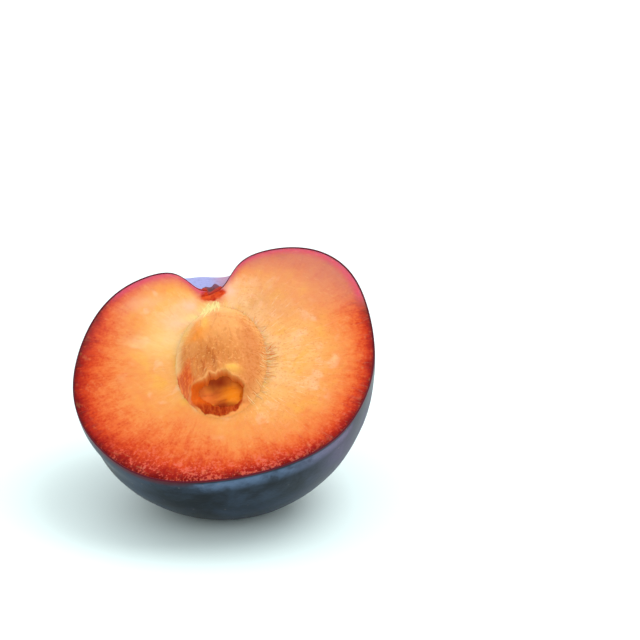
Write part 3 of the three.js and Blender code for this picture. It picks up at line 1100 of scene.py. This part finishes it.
def flesh_material():
    made, tree, shader = new_material("plum_flesh", {
        "Subsurface Weight": 0.8, "Subsurface Radius": (1.0, 0.36, 0.12), "Subsurface Scale": 0.0016,
        "Specular IOR Level": 0.10, "Specular Tint": (1.0, 0.62, 0.42, 1.0),
    })
    fine, broad = use_streaks(tree, attribute(tree, "fibre", "Vector"))
    spots, grain = use_mottle(tree, 420.0)
    at = SimpleNamespace(
        fine=fine, broad=broad, spots=spots, grain=grain, depth=attribute(tree, "depth"),
        right=attribute(tree, "across"), up=attribute(tree, "upwards"),
        to_skin=attribute(tree, "to_skin"), to_stone=attribute(tree, "to_stone"),
    )
    base = stained(tree, at, clouded(tree, at, ripe_colour(tree, at)))
    # painted highlights of the wet flesh beside the notch
    base = paint(tree, base, attribute(tree, "milk"), (255, 206, 176))
    base = paint(tree, base, attribute(tree, "cream"), (255, 222, 150))
    section = blend(tree, fade(tree, spots, 0.4, 0.62), seen(190, 34, 2), seen(232, 88, 34))
    base = blend(tree, attribute(tree, "scar"), base, section)
    tree.links.new(base, shader.inputs["Base Color"])
    tree.links.new(fade(tree, spots, 0.35, 0.7, 0.3, 0.5), shader.inputs["Roughness"])
    height = calc(tree, "MULTIPLY_ADD", fine, 0.6, grain)
    tree.links.new(bump(tree, height, 0.5, 0.14), shader.inputs["Normal"])
    return made


# %% [markdown]
# ## Skin
# The skin is almost black. What one sees on it is mostly the bloom, a blue-grey wax that lies unevenly,
# and the reflection of what stands around. Bloom is a mask from noise, mixed over the dark dye, and it
# is rougher than the bare skin; its band under the cut and its right side are partly painted
# reflection of the bright room. Small pale pores are dots of a cell pattern.

# %% Skin material
def bloom_and_reflection_mask(tree, at):
    """How thick the wax lies, 0 to 1: thin patches all over, a band under the cut, more on the right
    side and most in the stalk's hollow. The band and the right side are partly painted reflection.
    Returns the mask and the hollow's own mask."""
    def patchy(weight, *limits):
        return fade(tree, calc(tree, "MULTIPLY_ADD", at.patches, weight, at.spots), *limits)

    # partly painted reflection: a lighter blue band just under the cut, over the wax
    band = product(tree, fade(tree, at.under_cut, 5.5, 1.5), fade(tree, at.under_cut, 0.3, 1.0),
                   patchy(0.5, 0.55, 0.85, 0.12, 0.9), fade(tree, at.right, -17.0, -8.0, 0.3, 1.0),
                   fade(tree, at.right, 23.0, 28.5, 1.0, 0.4))
    # partly painted reflection: more bloom on the right side, where the skin catches the room's light
    side = product(tree, fade(tree, at.right, 12.0, 24.0), fade(tree, at.under_cut, 0.5, 5.0, 0.2, 0.8),
                   patchy(0.3, 0.45, 0.85, 0.25, 1.0))
    ragged = fade(tree, at.spots, 0.3, 0.7, -1.0, 1.0)
    hollow = fade(tree, calc(tree, "MULTIPLY_ADD", ragged, 7.0, at.stalk_angle), 34.0, 16.0)
    bloom_and_reflection = patchy(0.4, 0.55, 0.95, 0.0, 0.25)
    for more in (side, band, product(tree, hollow, 0.95)):
        bloom_and_reflection = calc(tree, "MAXIMUM", bloom_and_reflection, more)
    return product(tree, bloom_and_reflection, fade(tree, at.fleck, 0.25, 0.6, 0.8, 1.0)), hollow


def skin_material():
    made, tree, shader = new_material("plum_skin", {"Specular IOR Level": 0.12})
    spots, _ = use_mottle(tree, 75.0)
    patches, fleck = use_mottle(tree, 300.0)
    at = SimpleNamespace(
        spots=spots, patches=patches, fleck=fleck, under_cut=attribute(tree, "under_cut"),
        right=attribute(tree, "across"), stalk_angle=attribute(tree, "stalk_angle"),
    )
    bloom_and_reflection, hollow = bloom_and_reflection_mask(tree, at)
    dye = blend(tree, spots, seen(12, 20, 28), seen(26, 36, 46))
    in_hollow = blend(tree, fade(tree, at.right, 0.5, 4.5), seen(172, 178, 236), seen(200, 160, 192))
    # the bloom's colour, violet to the right, where it also carries the painted reflection
    on_body = blend(tree, fade(tree, at.right, 6.0, 24.0), seen(102, 124, 156), seen(130, 118, 146))
    in_hollow = blend(tree, fade(tree, at.stalk_angle, 12.0, 22.0), in_hollow, on_body)
    base = blend(tree, bloom_and_reflection, dye, blend(tree, hollow, on_body, in_hollow))

    cells = node(tree, "TexVoronoi", {"Vector": object_place(tree), "Scale": 300.0, "Randomness": 1.0})
    pores = fade(tree, cells.outputs["Distance"], 0.10, 0.04, 0.0, 0.35)
    base = paint(tree, base, pores, (140, 130, 124))
    on_left = product(tree, fade(tree, at.under_cut, 2.0, 0.4), fade(tree, at.right, -8.0, -16.0), 0.85)
    base = paint(tree, base, on_left, (92, 24, 34))
    base = paint(tree, base, fade(tree, at.under_cut, 0.45, 0.05), (96, 14, 34))
    at_scar = product(tree, fade(tree, at.under_cut, 0.8, 0.3), fade(tree, at.stalk_angle, 9.0, 6.0))
    base = paint(tree, base, at_scar, (170, 40, 16))
    tree.links.new(base, shader.inputs["Base Color"])
    tree.links.new(fade(tree, bloom_and_reflection, 0.0, 0.8, 0.34, 0.65), shader.inputs["Roughness"])
    tree.links.new(bump(tree, fleck, 0.25, 0.12), shader.inputs["Normal"])
    return made


# %% [markdown]
# ## Stone, clinging flesh, fibres and scar
# The stone is brown wood with darker pits. The flesh on it is browner than the rest, because it was
# torn and has begun to turn, and it is most orange in the wet hollow at the torn edge. In that hole,
# shade is painted under the ledge and at the lower end, and highlights on the ledge and the nub.

# %% Stone and small materials
def stone_material():
    made, tree, shader = new_material("plum_stone", {
        "Subsurface Weight": 0.3, "Subsurface Radius": (1.0, 0.4, 0.15), "Subsurface Scale": 0.001,
        "Coat Weight": 0.05, "Coat Roughness": 0.15,
        "Specular IOR Level": 0.12, "Specular Tint": (1.0, 0.6, 0.3, 1.0),
    })
    relief, streak = attribute(tree, "relief"), attribute(tree, "streak")
    spots, grain = use_mottle(tree, 600.0)
    base = blend(tree, fade(tree, relief, -1.0, 0.6), seen(188, 76, 22), seen(226, 112, 38))
    base = paint(tree, base, fade(tree, spots, 0.5, 0.75, 0.0, 0.5), (188, 70, 18))
    base = paint(tree, base, attribute(tree, "bright"), (248, 136, 14))
    base = paint(tree, base, attribute(tree, "pulp"), (255, 132, 56))
    base = paint(tree, base, fade(tree, streak, 0.1, 0.5, 0.0, 0.5), (176, 62, 4))
    base = paint(tree, base, fade(tree, streak, -0.1, -0.5, 0.0, 0.4), (252, 150, 50))
    # painted shade: the cave under the ledge and the crescent at the stone's lower end
    base = paint(tree, base, attribute(tree, "dark"), (150, 40, 0))
    tree.links.new(base, shader.inputs["Base Color"])
    tree.links.new(fade(tree, grain, 0.3, 0.7, 0.3, 0.5), shader.inputs["Roughness"])
    tree.links.new(bump(tree, grain, 0.5, 0.15), shader.inputs["Normal"])
    return made


def mat_colour(tree, at):
    """The top of the mat: tan, browner in its middle with strokes along the stone, amber on its upper
    left, duller on the right and pale towards its border."""
    base = blend(tree, fade(tree, at.along, 0.0, 9.0), seen(228, 146, 76), seen(248, 172, 100))
    base = paint(tree, base, product(tree, at.brown, 0.7), (214, 124, 58))
    strokes = fade(tree, at.long_grain, 0.50, 0.62)
    strokes = product(tree, strokes, fade(tree, at.brown, 0.0, 0.8, 0.3, 0.85))
    base = paint(tree, base, strokes, (196, 102, 40))
    base = paint(tree, base, fade(tree, at.small, 0.46, 0.34, 0.0, 0.5), (253, 186, 112))
    base = paint(tree, base, product(tree, attribute(tree, "amber"), 0.7), (250, 148, 44))
    base = paint(tree, base, at.right, (228, 144, 80))
    outwards = calc(tree, "ADD", at.on_stone, fade(tree, at.along, 4.0, 13.0, 0.0, 0.15))
    border = product(tree, fade(tree, outwards, 0.85, 1.05), fade(tree, at.across, 2.0, 6.0, 1.0, 0.6))
    border_tint = blend(tree, fade(tree, at.across, -4.0, 3.0), seen(255, 202, 136), seen(252, 186, 112))
    base = blend(tree, border, base, border_tint)
    flecks = product(tree, at.right, fade(tree, at.small, 0.5, 0.62, 0.0, 0.7))
    return paint(tree, base, flecks, (214, 124, 60))


def torn_colour(tree, at, base):
    """What lies over the mat's own colour: red flesh on its left and lower end, with painted shade at that
    lower end, a painted highlight along the ledge above the hole, yellow spots that are partly painted
    highlights, and the orange wall inside the hole, with painted shade at its lower end."""
    shreds = fade(tree, at.long_grain, 0.42, 0.6)
    red_tint = blend(tree, shreds, seen(224, 80, 22), seen(252, 130, 58))
    # painted shade: the flesh darkens at the mat's lower end, the dark crescent under the hole
    red_tint = paint(tree, red_tint, fade(tree, at.along, -9.5, -12.0), (172, 50, 0))
    base = blend(tree, product(tree, attribute(tree, "red"), 0.85), base, red_tint)
    low_border = product(tree, fade(tree, at.on_stone, 0.92, 1.0), fade(tree, at.along, -10.0, -12.0))
    base = paint(tree, base, low_border, (250, 162, 86))
    # painted highlight: a pale line along the curled ledge above the hole
    ledge = product(tree, fade(tree, at.outside_hole, 1.1, 0.5, 0.0, 0.85),
                    fade(tree, at.along, -8.0, -5.5), fade(tree, at.across, -6.5, -4.0))
    base = paint(tree, base, ledge, (254, 180, 108))
    # yellow spots that are partly painted highlights on the nub and the mat's upper left
    base = paint(tree, base, attribute(tree, "yellow"), (255, 192, 92))
    # the wall's lower end is painted shade, the dark crescent under the hole
    wall_tint = blend(tree, fade(tree, at.along, -11.6, -9.0), seen(166, 46, 0), seen(240, 106, 22))
    wall_tint = paint(tree, wall_tint, product(tree, shreds, 0.4), (236, 112, 36))
    return blend(tree, fade(tree, at.outside_hole, 0.5, 0.1), base, wall_tint)


def clinging_material():
    made, tree, shader = new_material("clinging_flesh", {
        "Subsurface Weight": 0.3, "Subsurface Radius": (1.0, 0.45, 0.2), "Subsurface Scale": 0.0005,
        "Specular IOR Level": 0.10, "Specular Tint": (1.0, 0.62, 0.42, 1.0),
    })
    place = attribute(tree, "stone_place", "Vector")
    across, along = node(tree, "SeparateXYZ", {0: place}).outputs[:2]
    long_grain = noise_of(tree, stretch(tree, place, 1.25, 0.42, 0.8), 1.0, 4.0, 0.6, 0.4)
    small = noise_of(tree, place, 1.4, 3.0, 0.6)
    at = SimpleNamespace(
        across=across, along=along, long_grain=long_grain, small=small, brown=attribute(tree, "brown"),
        right=attribute(tree, "right"), on_stone=attribute(tree, "on_stone"),
        outside_hole=attribute(tree, "outside_hole"),
    )
    tree.links.new(torn_colour(tree, at, mat_colour(tree, at)), shader.inputs["Base Color"])
    tree.links.new(fade(tree, small, 0.3, 0.7, 0.35, 0.55), shader.inputs["Roughness"])
    height = calc(tree, "MULTIPLY_ADD", small, 0.6, long_grain)
    tree.links.new(bump(tree, height, 0.5, 0.4), shader.inputs["Normal"])
    return made


def thread_material():
    made, tree, shader = new_material("torn_fibres", {
        "Roughness": 0.5, "Specular IOR Level": 0.02, "Specular Tint": (1.0, 0.6, 0.3, 1.0),
    })
    base = ramp(tree, attribute(tree, "tone"), [
        (0.0, seen(240, 124, 50)), (0.4, seen(255, 184, 110)), (0.7, seen(255, 216, 156)),
        (0.9, seen(255, 226, 166)), (1.0, seen(255, 236, 160)),
    ])
    tree.links.new(base, shader.inputs["Base Color"])
    return made


def scar_material():
    made, tree, shader = new_material("stalk_scar", {"Roughness": 0.6, "Specular IOR Level": 0.2})
    spots, grain = use_mottle(tree, 900.0)
    base = blend(tree, fade(tree, spots, 0.4, 0.65), seen(92, 26, 40), seen(134, 58, 70))
    base = paint(tree, base, fade(tree, attribute(tree, "lift"), 0.6, 1.3), (124, 64, 88))
    base = paint(tree, base, fade(tree, attribute(tree, "under_cut"), 0.4, 0.0, 0.0, 0.8), (196, 44, 12))
    tree.links.new(base, shader.inputs["Base Color"])
    tree.links.new(bump(tree, grain, 0.6, 0.2), shader.inputs["Normal"])
    return made


looks = {
    skin: skin_material(),
    flesh: flesh_material(),
    stone: stone_material(),
    clinging: clinging_material(),
    threads: thread_material(),
    scar: scar_material(),
}
for piece, material in looks.items():
    piece.data.materials.append(material)
print("materials:", sorted(m.name for m in looks.values()))

# %% [markdown]
# ## The table, light and camera
# The plum lies on a white surface in a bright room, so nearly all the light is soft and comes from all
# sides. The surface is lit until it is almost white on screen, and the only shape it shows is the pale
# green-blue shadow under the fruit.

# %% Surface
SURFACE_HALF = 3.0
SURFACE_DROP = 0.00002  # under the origin plane, so that the two don't fight over one place


def make_surface():
    """A large square just under the origin plane."""
    half = SURFACE_HALF
    corners = [(-half, -half), (half, -half), (half, half), (-half, half)]
    mesh = bpy.data.meshes.new("surface")
    mesh.from_pydata([(x, y, -SURFACE_DROP) for x, y in corners], [], [(0, 1, 2, 3)])
    made = bpy.data.objects.new("surface", mesh)
    bpy.context.scene.collection.objects.link(made)
    material, _, _ = new_material("surface", {
        "Base Color": (0.80, 0.95, 0.945, 1.0), "Roughness": 0.6, "Specular IOR Level": 0.2,
    })
    mesh.materials.append(material)
    return made


surface = make_surface()

# %% Light
SOFT_STRENGTH = 1.2  # of the white light from all sides

world = bpy.data.worlds.new("room")
world.use_nodes = True
background = world.node_tree.nodes["Background"]
background.inputs["Color"].default_value = (1.0, 1.0, 1.0, 1.0)
background.inputs["Strength"].default_value = SOFT_STRENGTH
bpy.context.scene.world = world


def soft_light(title, place, target, size, watts, tint):
    """A square area light that faces its target."""
    data = bpy.data.lights.new(title, "AREA")
    data.shape = "SQUARE"
    data.size = size
    data.energy = watts
    data.color = tint
    made = bpy.data.objects.new(title, data)
    made.location = place
    made.rotation_euler = (Vector(target) - Vector(place)).to_track_quat("-Z", "Y").to_euler()
    bpy.context.scene.collection.objects.link(made)
    return made


soft_light("window", place=(0.40, 0.05, 0.75), target=(0, 0, 0.02), size=0.6, watts=3.2,
           tint=(1.0, 0.99, 0.97))

# %% Camera
FACE_AT_MM = SHIFT  # the fruit's middle, which is the middle of the cut face
VIEW_FROM = np.array([0.0404, -0.9263, 0.3746])  # from the face's middle to the camera
DISTANCE = 0.520
LOOKING_DOWN = 20.77  # degrees
LENS = 134.55  # mm, on a sensor that is 36 mm wide

camera_data = bpy.data.cameras.new("camera")
camera_data.lens = LENS
camera_data.sensor_width = 36.0
camera = bpy.data.objects.new("camera", camera_data)
camera.location = FACE_AT_MM * MM + DISTANCE * VIEW_FROM
camera.rotation_euler = (math.radians(90 - LOOKING_DOWN), 0, 0)
bpy.context.scene.collection.objects.link(camera)
bpy.context.scene.camera = camera
bpy.context.scene.view_settings.view_transform = "Standard"
print("camera at", [round(v, 3) for v in camera.location])

# %% [markdown]
# ## Joining the frame
# Each piece rides the frame's one root, and the solids that the pieces stand for are hidden, so that
# only the fine pieces show. The surface is only stage.

# %% Join the frame
for piece in looks:
    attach(piece, "root")
for piece in (skin, flesh, scar):
    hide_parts("fruit_half")
for piece in (stone, clinging, threads):
    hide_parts("stone")
